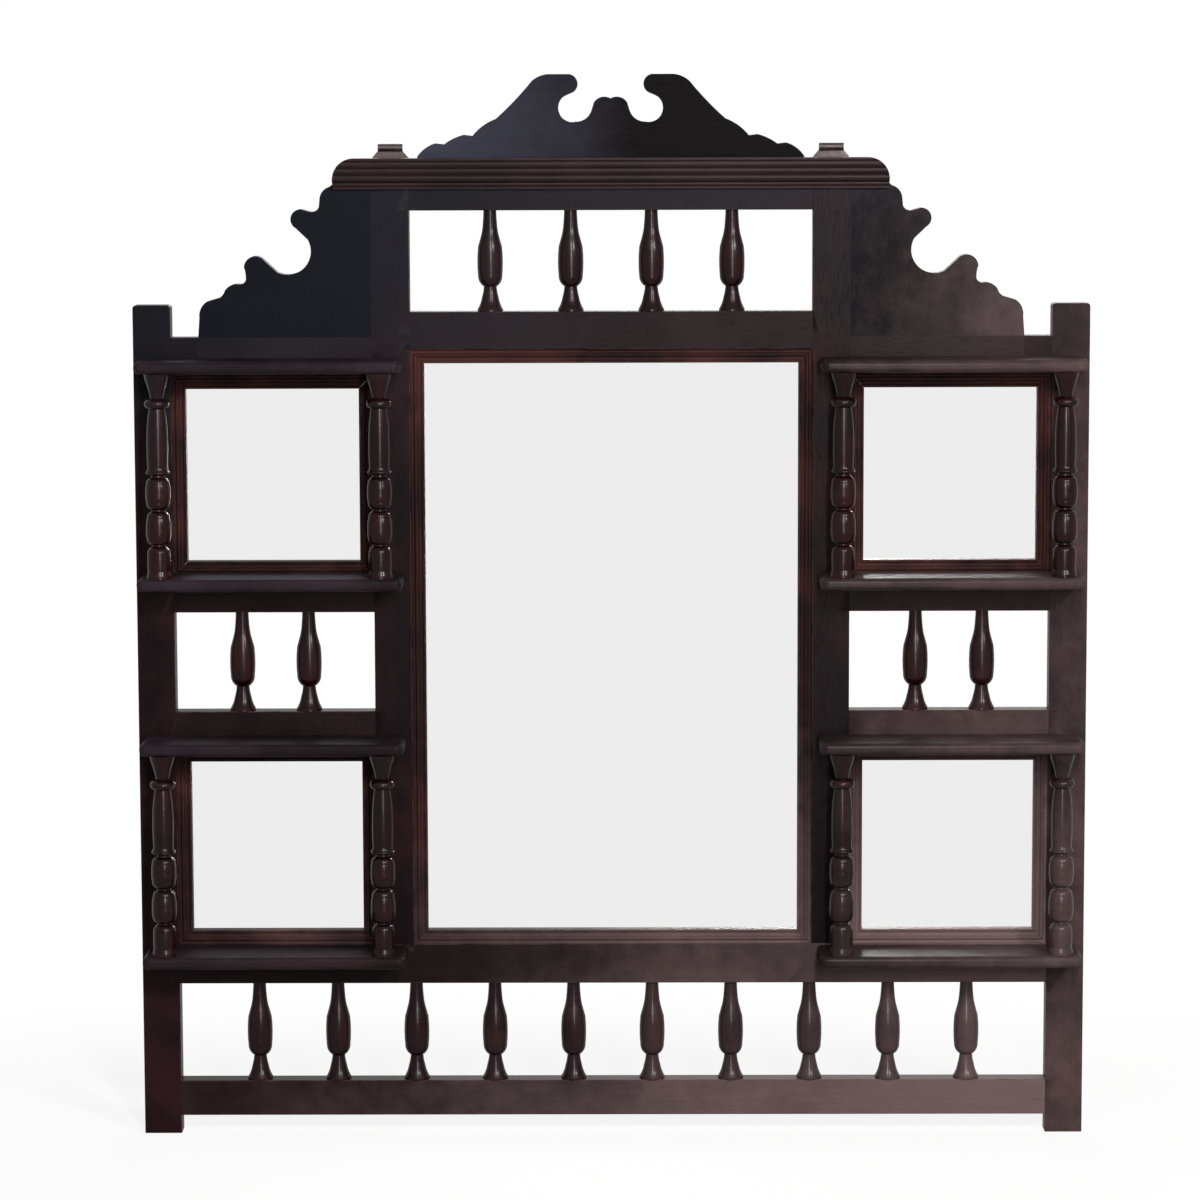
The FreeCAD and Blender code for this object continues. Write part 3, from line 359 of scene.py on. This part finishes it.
def stained_wood(name, along, deep, warm, worn, gloss=0.38, varnish=0.0, specular=0.035,
                 clouding_and_painted_sheen=(0.1, -0.85, 2.5), painted_sheen_colour=shade(22, 25, 33), painted_glare=(-0.18, 1.2, 1.7), grain=1.0,
                 unevenness=0.3):
    """Dark stain over fine straight grain, rubbed through to the wood on the arrises. Over the stain two
    settings paint light: a painted bluish sheen that grows towards the upper left, and a painted pale glare
    that grows towards the lower right. Each has its share in the middle of the width, and how much it grows
    in a metre to the right and in a metre up or down. The lamps are strong for the sake of the gleams, and
    stain_strength darkens the colours to match."""
    finish = Finish(name)
    across, height = (finish.node("SeparateXYZ", {}, {"Vector": finish.place()}, axis) for axis in "XZ")
    fibre_rates = drawn_out(along, 430.0, 14.0)
    fibres = finish.noise(fibre_rates, 4.0, 0.6)
    pores = finish.noise(drawn_out(along, 1500.0, 90.0), 2.0, 0.5).between(0.58, 0.72)
    clouds = finish.noise(7.0, 4.0, 0.6, (3.1, 1.7, 0.4), 0.4)
    drift = clouds - 0.5
    streaks = finish.noise([rate / 9 for rate in fibre_rates], 3.0, 0.5, (1.3, 0.2, 2.2))
    fine = finish.noise(620.0, 2.0, 0.6)
    patches = finish.noise(45.0, 4.0, 0.65, (0.7, 2.9, 1.1))
    colour = finish.mix(clouds.between(0.4, 0.66), deep, warm)
    colour = finish.mix(streaks.between(0.45, 0.75) * 0.2, colour, warm)
    # Painted bluish sheen: a cool colour laid over the stain towards the upper left. It stands for a
    # reflection of cool light on the varnish, not for a colour of the stain.
    start, lean, rise = clouding_and_painted_sheen
    painted_sheen_share = across * lean + (height - painted_sheen_level) * rise + drift * 1.1 + start
    colour = finish.mix(painted_sheen_share.between(0.0, 1.0) * 0.9, colour, painted_sheen_colour)
    # Painted pale glare: a pale, mottled colour laid over the stain towards the lower right. It stands for
    # light glaring on the varnish, not for a colour of the wood.
    start, lean, fall = painted_glare
    pale = across * lean + (painted_glare_level - height) * fall + drift * 0.5 + (patches - 0.5) * 0.35 + start
    colour = finish.mix(pale.between(0.0, 1.0), colour, painted_glare_colour)
    colour = finish.mix(fibres.between(0.3, 0.8) * 0.25 * grain, colour, (0.35, 0.33, 0.34), "MULTIPLY")
    colour = finish.mix(pores * 0.4 * grain, colour, (0.2, 0.2, 0.2), "MULTIPLY")
    colour = finish.mix(fine.between(0.62, 0.8) * 0.06 * grain, colour, shade(104, 98, 104))
    rubbed = finish.wear() * patches.between(0.36, 0.62)
    colour = finish.mix(rubbed * 0.75, colour, worn)
    chips = finish.noise(130.0, 3.0, 0.6, (4.4, 0.3, 2.7)).between(0.75, 0.79)
    colour = finish.mix(chips * 0.8, colour, shade(128, 84, 62))
    colour = finish.mix(1.0, colour, (stain_strength,) * 3, "MULTIPLY")
    rough = gloss + drift * 0.16 + (fine - 0.5) * 0.12 * grain + pores * 0.1 * grain + rubbed * 0.06
    ripple = finish.noise(170.0, 2.0, 0.5, (0.2, 0.9, 0.6))
    waves = finish.noise(30.0, 2.0)
    relief = (fibres * 0.5 + pores * -0.8) * grain + waves * 2.2 + ripple * 0.8
    return finish.done(finish.node("BsdfPrincipled", {}, {
        "Base Color": colour, "Roughness": rough, "Normal": finish.bump(relief, unevenness, grain_depth),
        "Specular IOR Level": specular, "Coat Weight": varnish, "Coat Roughness": varnish_roughness}))


worn_arris = shade(88, 66, 60)
# Uprights and rails both carry the painted bluish sheen of the upper left and the painted pale glare of the
# lower right. On the uprights the glare grows mostly towards the right.
upright_stain = stained_wood("upright_stain", "Z", shade(20, 13, 16), shade(46, 25, 27), worn_arris,
                             painted_glare=(-0.41, 1.55, 0.25), grain=0.7)
rail_stain = stained_wood("rail_stain", "X", shade(26, 17, 19), shade(44, 29, 30), worn_arris, grain=0.6)
for board in uprights:
    jointed_board(board, upright_stain)
for board in long_rails + short_rails:
    jointed_board(board, rail_stain)


# Fret-cut boards
# The crest and the two side wings are sawn from thin board with a fret saw and stand on dowels on their
# rails. Their stain is the bluest. Painted light lies on their flat faces: a painted bluish sheen towards
# the left of the crest and the wings, and a painted pale glare towards the right of the wings.
crest_stain = stained_wood("crest_stain", "X", shade(6, 4, 5), shade(12, 8, 9), shade(60, 50, 53), 0.42,
                           specular=0.02, clouding_and_painted_sheen=(0.15, -5.5, 0.0), painted_sheen_colour=shade(62, 62, 75), grain=0.6)
wing_stain = stained_wood("wing_stain", "Z", shade(8, 7, 12), shade(15, 11, 16), shade(60, 50, 53), 0.42,
                          specular=0.025, painted_glare=(-0.27, 1.64, 0.0), grain=0.6)
for board in fret_boards:
    jointed_board(board, crest_stain if board == "crest_board" else wing_stain)


# Cornice
# A reeded strip run along the front of the head rail. Its ends are rounded and the reeds are worked in one
# piece with it, and their fine arrises are rubbed lighter.
# The cornice takes a painted bluish sheen towards its left end, and none of the painted pale glare.
cornice_stain = stained_wood("cornice_stain", "X", shade(34, 24, 25), shade(48, 32, 32), shade(70, 54, 54),
                             0.36, specular=0.06, clouding_and_painted_sheen=(-0.7, -0.9, 2.5), painted_glare=(-0.5, 0.0, 0.0),
                             unevenness=0.15)
reed_ease = 0.0004
eased_copy("cornice_moulding", "reeded_cornice", "frame_wood", cornice_stain, reed_ease)


# Shelves
# Eight small boards of the same wood, with rounded front corners and a nosed edge. Handling has dulled
# their varnish and rubbed their edges pale.
# The shelves carry a painted pale sheen towards the left and a painted pale glare towards the right.
shelf_stain = stained_wood("shelf_stain", "X", shade(26, 19, 21), shade(44, 30, 32), shade(104, 88, 88),
                           0.58, varnish=0.05, specular=0.03, clouding_and_painted_sheen=(0.12, -0.6, 0.3), painted_sheen_colour=shade(58, 52, 62),
                           painted_glare=(-0.02, 0.95, 0.1), unevenness=0.55)
shelves = [f"{side}_{unit}_{level}_shelf" for side in ("left", "right")
           for unit in ("upper", "lower") for level in ("top", "bottom")]
nosing_ease = 0.0004
for shelf in shelves:
    eased_copy(shelf, shelf + "_board", "shelf_wood", shelf_stain, nosing_ease)


# Columns
# Eight little columns turned on a lathe from one blank each, with two barrels and a half one under a tapered
# shaft, a ring and a flared cap. Turned pins at both ends go into the shelves.
column_radius = 0.0128
column_pin = (0.005, 0.008)
column_sides = 56
turned_corner = math.radians(11.0)
worn_fullness = 0.88
turned_wear = 0.45
arc_turn = math.radians(8)
least_arc_steps = 4
column_outline = (
    (0.0, 0.977, 0.0), (0.016, 0.969, 0.0), (0.037, 0.883, 0.04), (0.13, 0.891, 0.25),
    (0.159, 0.547, 0.0), (0.167, 0.539, 0.4), (0.191, 0.914, 0.1), (0.248, 0.972, 0.1),
    (0.297, 0.891, 0.32), (0.331, 0.555, 0.0), (0.339, 0.547, 0.36), (0.373, 0.922, 0.1),
    (0.422, 0.972, 0.1), (0.463, 0.925, 0.34), (0.497, 0.563, 0.0), (0.507, 0.547, 0.0),
    (0.514, 0.906, 0.5), (0.525, 0.906, -0.16), (0.547, 0.797, 0.02), (0.666, 0.836, 0.045),
    (0.832, 0.625, 0.0), (0.832, 0.71, 0.78), (0.876, 0.71, 0.0), (0.876, 0.49, -0.04),
    (0.978, 0.93, 0.0), (1.0, 1.0, 0.0),
)


def bowed(start, end, bow):
    """Points of an arc from start up to the end, bowed by that share of half the chord to its right."""
    if bow == 0.0:
        return [start]
    chord = end - start
    middle = (start + end) / 2
    sideways = Vector((chord.y, -chord.x)).normalized()
    height = bow * chord.length / 2
    radius = (chord.length ** 2 / 4 + height ** 2) / (2 * height)
    centre = middle - sideways * (radius - height)
    first = math.atan2(start.y - centre.y, start.x - centre.x)
    turn = 4 * math.atan(bow)
    steps = max(least_arc_steps, math.ceil(abs(turn) / arc_turn))
    points = []
    for step in range(steps):
        angle = first + turn * step / steps
        points.append(centre + abs(radius) * Vector((math.cos(angle), math.sin(angle))))
    return points


def turning(mesh, axis_foot, height, radius, outline, pin, sides):
    """Spin an outline of shares of the height and radius about an upright axis, with a pin at each end."""
    profile = [Vector((0.0, -pin[1])), Vector((pin[0], -pin[1])), Vector((pin[0], 0.0))]
    corners = [(Vector((share * radius, level * height)), bow) for level, share, bow in outline]
    for (start, bow), (end, _) in zip(corners, corners[1:]):
        profile += bowed(start, end, bow)
    profile += [corners[-1][0], Vector((pin[0], height)), Vector((pin[0], height + pin[1])),
                Vector((0.0, height + pin[1]))]
    line = [mesh.verts.new(axis_foot + Vector((point.x, 0.0, point.y))) for point in profile]
    chain = [mesh.edges.new(pair) for pair in zip(line, line[1:])]
    bmesh.ops.spin(mesh, geom=line + chain, cent=axis_foot, axis=(0.0, 0.0, 1.0), steps=sides,
                   angle=math.tau, use_merge=True)


def closed(mesh, radius_at, radius):
    """Join the seam and the ends, turn the faces outwards and mark the fullest parts as rubbed."""
    bmesh.ops.remove_doubles(mesh, verts=mesh.verts, dist=merge_reach)
    bmesh.ops.recalc_face_normals(mesh, faces=mesh.faces)
    rubbed = mesh.loops.layers.float.new("wear")
    for face in mesh.faces:
        for corner in face.loops:
            fullness = radius_at(corner.vert.co) / radius
            share = (fullness - worn_fullness) / (1 - worn_fullness)
            corner[rubbed] = max(0.0, min(1.0, share)) * turned_wear


# The turned work also carries the painted bluish sheen towards the upper left and the painted pale glare
# towards the lower right.
turned_stain = stained_wood("turned_stain", "Z", shade(20, 3, 4), shade(35, 8, 8), shade(54, 22, 21),
                            0.36, varnish=0.2, specular=0.03, clouding_and_painted_sheen=(-0.15, -0.9, 2.5),
                            painted_glare=(-0.16, 0.75, 1.0), grain=0.4, unevenness=0.12)
columns = [f"{side}_{unit}_{place}_column" for side in ("left", "right")
           for unit in ("upper", "lower") for place in ("inner", "outer")]
for column in columns:
    low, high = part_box(column)
    foot = Vector(((low.x + high.x) / 2, (low.y + high.y) / 2, low.z + column_pin[1]))
    column_mesh = bmesh.new()
    turning(column_mesh, foot, high.z - low.z - 2 * column_pin[1], column_radius, column_outline, column_pin,
            column_sides)
    closed(column_mesh, lambda point: math.hypot(point.x - foot.x, point.y - foot.y), column_radius)
    finished(column_mesh, column + "_turning", "turned_wood", turned_stain, column,
             least_corner=turned_corner)


# Gallery spindles
# Short turned spindles between the rails, each with a bell foot, a narrow waist, a barrel and a long neck.
# Their pins are glued into holes bored in the rails.
spindle_radius = 0.013
spindle_pin = (0.0045, 0.01)
spindle_sides = 48
spindle_outline = (
    (0.0, 1.0, 0.0), (0.02, 0.992, -0.1), (0.138, 0.65, -0.06), (0.245, 0.5, 0.26),
    (0.345, 0.938, 0.05), (0.64, 0.93, 0.0), (0.725, 0.746, -0.06), (0.86, 0.56, -0.02),
    (1.0, 0.5, 0.0),
)
for gallery, count in (("top", 4), ("left", 2), ("right", 2), ("bottom", 10)):
    low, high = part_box(gallery + "_gallery_spindles")
    first = low.x + spindle_radius
    pitch = (high.x - spindle_radius - first) / (count - 1)
    middle_y = (low.y + high.y) / 2
    spindle_mesh = bmesh.new()
    for place in range(count):
        foot = Vector((first + place * pitch, middle_y, low.z + spindle_pin[1]))
        turning(spindle_mesh, foot, high.z - low.z - 2 * spindle_pin[1], spindle_radius, spindle_outline,
                spindle_pin, spindle_sides)
    closed(spindle_mesh, lambda point: math.hypot(point.x - first - pitch * round((point.x - first) / pitch),
                                                  point.y - middle_y), spindle_radius)
    finished(spindle_mesh, gallery + "_gallery_turnings", "turned_wood", turned_stain,
             gallery + "_gallery_spindles", least_corner=turned_corner)


# Mirror mouldings
# Each mirror is edged by four thin moulded strips of red-brown wood, mitred at the corners and pinned into
# the opening. A bead stands at the frame's edge and a hollow slopes in to the glass.
moulding_width = 0.014
moulding_depth = 0.0095
mitre_gap = 0.00006
mitre_reach = 1e-7
strip_ease = 0.0002
moulding_outline = (
    (0.0, 1.0, 0.0), (0.0, -0.05, -0.85), (0.32, -0.05, 0.0), (0.32, 0.14, 0.0), (0.45, 0.14, -0.7),
    (0.88, 0.3, 0.0), (1.0, 0.3, 0.0), (1.0, 1.0, 0.0),
)
# The strips carry the painted pale glare, which grows fast towards the lower strips and to the right, and a
# painted bluish sheen at the upper left.
moulding_stain = stained_wood("moulding_stain", "X", shade(36, 23, 23), shade(70, 41, 39),
                              shade(98, 76, 76), 0.44, specular=0.03, clouding_and_painted_sheen=(-0.7, -0.9, 2.5),
                              painted_glare=(-0.1, 1.0, 2.6), grain=0.6)
front_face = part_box("lower_rail")[0].y


def moulded_strip(mesh, corner, along, inward, length):
    """One strip from its outer corner, cut at 45 degrees at both ends."""
    corners = [(Vector((share * moulding_width, depth * moulding_depth)), bow)
               for share, depth, bow in moulding_outline]
    outline = []
    for (start, bow), (end, _) in zip(corners, corners[1:] + corners[:1]):
        outline += bowed(start, end, bow)
    strip = bmesh.new()
    section = [strip.verts.new(corner + inward * point.x + Vector((0.0, point.y, 0.0))) for point in outline]
    grown = bmesh.ops.extrude_face_region(strip, geom=[strip.faces.new(section)])
    moved = [item for item in grown["geom"] if isinstance(item, bmesh.types.BMVert)]
    bmesh.ops.translate(strip, verts=moved, vec=along * length)
    for end, turn in ((corner, along - inward), (corner + along * length, -along - inward)):
        everything = strip.verts[:] + strip.edges[:] + strip.faces[:]
        cut = bmesh.ops.bisect_plane(strip, geom=everything, dist=mitre_reach, clear_inner=True,
                                     plane_co=end + turn.normalized() * mitre_gap, plane_no=turn)
        open_edges = [item for item in cut["geom_cut"] if isinstance(item, bmesh.types.BMEdge)]
        bmesh.ops.holes_fill(strip, edges=open_edges, sides=0)
    bmesh.ops.recalc_face_normals(strip, faces=strip.faces)
    ease_arrises(strip, strip_ease, 2)
    part = bpy.data.meshes.new("strip")
    strip.to_mesh(part)
    strip.free()
    mesh.from_mesh(part)
    bpy.data.meshes.remove(part)


mirrors = ["centre", "left_upper", "left_lower", "right_upper", "right_lower"]
for mirror in mirrors:
    low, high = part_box(mirror + "_mirror_moulding")
    moulding_mesh = bmesh.new()
    moulding_mesh.loops.layers.float.new("wear")
    across, rise = high.x - low.x, high.z - low.z
    for corner, along, inward, length in (
            ((low.x, low.z), (1, 0), (0, 1), across), ((high.x, low.z), (0, 1), (-1, 0), rise),
            ((high.x, high.z), (-1, 0), (0, -1), across), ((low.x, high.z), (0, -1), (1, 0), rise)):
        moulded_strip(moulding_mesh, Vector((corner[0], front_face, corner[1])),
                      Vector((along[0], 0.0, along[1])), Vector((inward[0], 0.0, inward[1])), length)
    finished(moulding_mesh, mirror + "_mirror_edging", "moulding_wood", moulding_stain,
             mirror + "_mirror_moulding")


# Mirror plates
# Five plates of silvered glass with plain cut edges. The silvering is bright, with faint clouded patches
# all over.
silver = Finish("silvered_glass")
clouding_and_painted_sheen = silver.noise(60.0, 4.0, 0.6).between(0.45, 0.8)
silvered = silver.node("BsdfPrincipled", {}, {
    "Base Color": silver.mix(clouding_and_painted_sheen, (0.845, 0.845, 0.845), (0.836, 0.836, 0.836)),
    "Metallic": 1.0, "Roughness": clouding_and_painted_sheen * 0.004})
mirror_finish = silver.done(silvered)
for mirror in mirrors:
    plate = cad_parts[mirror + "_mirror_plate"]
    plate.data.materials.clear()
    plate.data.materials.append(mirror_finish)


# Back boards, glue blocks and dowels
# Thin unstained softwood boards close the backs of the mirrors, held by short rubbed blocks of the same
# wood along their edges. Plain dowels hold the fret-cut boards.
def bare_softwood(name, along):
    """Old unfinished pine, with rings and darker bands drawn out along the grain, and grey dust."""
    finish = Finish(name)
    ring_rates = drawn_out(along, 95.0, 2.2)
    rings = finish.noise(ring_rates, 3.0, 0.5, (0.3, 1.9, 2.4), 0.5)
    fibres = finish.noise(drawn_out(along, 900.0, 30.0), 3.0)
    dust = finish.noise(11.0, 4.0, 0.6, (5.0, 0.4, 1.0)).between(0.45, 0.75)
    broad = finish.noise([rate / 6 for rate in ring_rates], 2.0, 0.5, (2.0, 0.6, 0.1))
    colour = finish.mix(rings.between(0.3, 0.75) * 0.8, shade(172, 136, 94), shade(134, 97, 62))
    colour = finish.mix(broad.between(0.4, 0.7) * 0.5, colour, shade(146, 108, 70))
    colour = finish.mix(fibres.between(0.3, 0.8) * 0.35, colour, (0.5, 0.45, 0.4), "MULTIPLY")
    colour = finish.mix(dust * 0.45, colour, shade(96, 82, 68))
    colour = finish.mix(finish.wear() * 0.3, colour, shade(110, 86, 62))
    return finish.done(finish.node("BsdfPrincipled", {}, {
        "Base Color": colour, "Roughness": 0.68 + fibres * 0.2,
        "Normal": finish.bump(fibres + rings, 0.4, 0.0003), "Specular IOR Level": 0.3}))


backing_ease = 0.0005
board_pine = bare_softwood("board_pine", "Z")
for mirror in mirrors:
    eased_copy(mirror + "_back_board", mirror + "_backing", "pine", board_pine, backing_ease)
block_ease = 0.0003
block_pine = bare_softwood("block_pine", "X")
for node, name in (("glue_blocks", "rubbed_blocks"), ("fret_board_dowels", "fret_dowels")):
    eased_copy(node, name, "pine", block_pine, block_ease, 1)


# Hangers
# Two straps of iron, rolled at the top into an eye and screwed to the back of the inner stiles. The metal
# is brown with old lacquer and thin rust, and brighter along its edges.
iron = Finish("strap_iron_finish")
rust = iron.noise(85.0, 5.0, 0.65).between(0.42, 0.68)
pitting = iron.noise(900.0, 3.0, 0.6)
iron_colour = iron.mix(rust, shade(54, 48, 48), shade(52, 39, 34))
iron_colour = iron.mix(iron.wear() * 0.6, iron_colour, shade(150, 138, 128))
iron_finish = iron.done(iron.node("BsdfPrincipled", {}, {
    "Base Color": iron_colour, "Metallic": 0.75 - rust * 0.5, "Roughness": rust * 0.2 + 0.38,
    "Normal": iron.bump(pitting, 0.35, 0.0002)}))
strap_ease = 0.0003
for side in ("left", "right"):
    eased_copy(side + "_hanger", side + "_hanger_strap", "strap_iron", iron_finish, strap_ease)


# Screws
# Plain slotted screws with flat heads, six in the hangers and long ones through the stiles and rails into
# the shelves. They are dull steel, worn bright around the slots.
steel = Finish("screw_steel_finish")
tarnish = steel.noise(260.0, 4.0, 0.6).between(0.35, 0.7)
steel_colour = steel.mix(tarnish, shade(150, 144, 134), shade(98, 84, 72))
steel_colour = steel.mix(steel.wear() * 0.5, steel_colour, shade(190, 186, 178))
scratches = steel.noise((2400.0, 240.0, 2400.0), 2.0)
steel_finish = steel.done(steel.node("BsdfPrincipled", {}, {
    "Base Color": steel_colour, "Metallic": 0.95, "Roughness": tarnish * 0.25 + 0.28,
    "Normal": steel.bump(scratches, 0.2, 0.0001)}))
screw_ease = 0.00012
for node, name in (("hanger_screws", "hanger_screw_set"), ("shelf_screws", "shelf_screw_set")):
    eased_copy(node, name, "screw_steel", steel_finish, screw_ease, 1)
